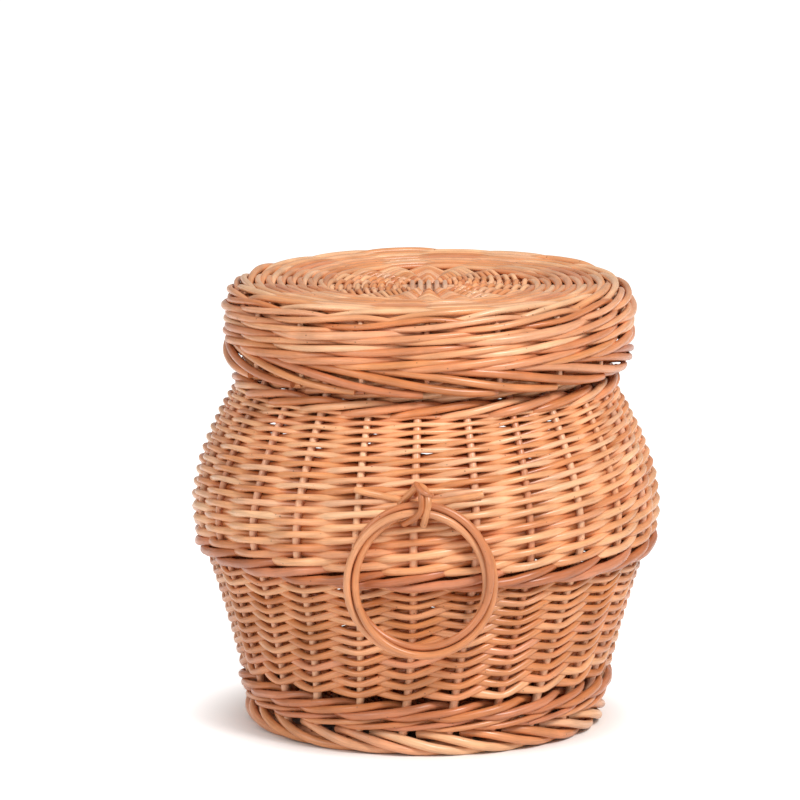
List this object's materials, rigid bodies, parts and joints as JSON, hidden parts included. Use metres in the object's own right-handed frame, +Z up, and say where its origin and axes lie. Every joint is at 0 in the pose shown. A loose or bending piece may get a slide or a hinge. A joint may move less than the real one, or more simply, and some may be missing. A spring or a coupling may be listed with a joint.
{
  "type": "lidded laundry hamper",
  "caption": "Round laundry hamper in woven buff willow, with a full belly, a drawn-in neck and foot, a lift-off lid and ring handles that swing.",
  "frame": {"origin": "on the floor, under the middle of the foot", "axes": "+Z up; the front ring handle is towards -Y; +X is to the right when seen from the front"},
  "size_m": [0.4586, 0.492, 0.4335],
  "materials": {
    "willow": "satin buff willow rods, woven",
    "pale_willow": "satin pale buff willow rods",
    "deep_willow": "satin deep orange buff willow rods"
  },
  "bodies": {
    "basket": {"foot_border": "willow", "base_weave": "willow", "base_through_stick_1": "pale_willow", "base_through_stick_2": "pale_willow", "base_through_stick_3": "pale_willow", "base_split_stick_1": "pale_willow", "base_split_stick_2": "pale_willow", "base_split_stick_3": "pale_willow", "foot_wale": "deep_willow", "lower_siding": "willow", "waist_wale": "deep_willow", "upper_siding": "willow", "neck_siding": "willow", "shoulder_wale": "deep_willow", "rim_border": "willow", "stake_01": "pale_willow", "stake_02": "pale_willow", "stake_03": "pale_willow", "stake_04": "pale_willow", "stake_05": "pale_willow", "stake_06": "pale_willow", "stake_07": "pale_willow", "stake_08": "pale_willow", "stake_09": "pale_willow", "stake_10": "pale_willow", "stake_11": "pale_willow", "stake_12": "pale_willow", "stake_13": "pale_willow", "stake_14": "pale_willow", "stake_15": "pale_willow", "stake_16": "pale_willow", "stake_17": "pale_willow", "stake_18": "pale_willow", "stake_19": "pale_willow", "stake_20": "pale_willow", "stake_21": "pale_willow", "stake_22": "pale_willow", "stake_23": "pale_willow", "stake_24": "pale_willow", "handle_loop_front": "deep_willow", "handle_crossbar_front": "willow", "handle_loop_back": "deep_willow", "handle_crossbar_back": "willow"},
    "lid": {"lid_top_weave": "willow", "lid_through_stick_1": "pale_willow", "lid_through_stick_2": "pale_willow", "lid_through_stick_3": "pale_willow", "lid_through_stick_4": "pale_willow", "lid_split_stick_1": "pale_willow", "lid_split_stick_2": "pale_willow", "lid_split_stick_3": "pale_willow", "lid_split_stick_4": "pale_willow", "lid_split_stick_5": "pale_willow", "lid_side_weave": "willow", "lid_border": "deep_willow"},
    "front_ring": {"ring_handle_front": "willow"},
    "back_ring": {"ring_handle_back": "willow"}
  },
  "joints": [
    {"name": "lid_lift", "type": "slide", "parent": "basket", "child": "lid", "axis": [0, 0, 1], "range_m": [0, 0.25]},
    {"name": "front_ring_swing", "type": "hinge", "parent": "basket", "child": "front_ring", "pos_m": [0, -0.23229, 0.2515], "axis": [-1, 0, 0], "range_deg": [0, 175]},
    {"name": "back_ring_swing", "type": "hinge", "parent": "basket", "child": "back_ring", "pos_m": [0, 0.23229, 0.2515], "axis": [1, 0, 0], "range_deg": [0, 175]}
  ]
}
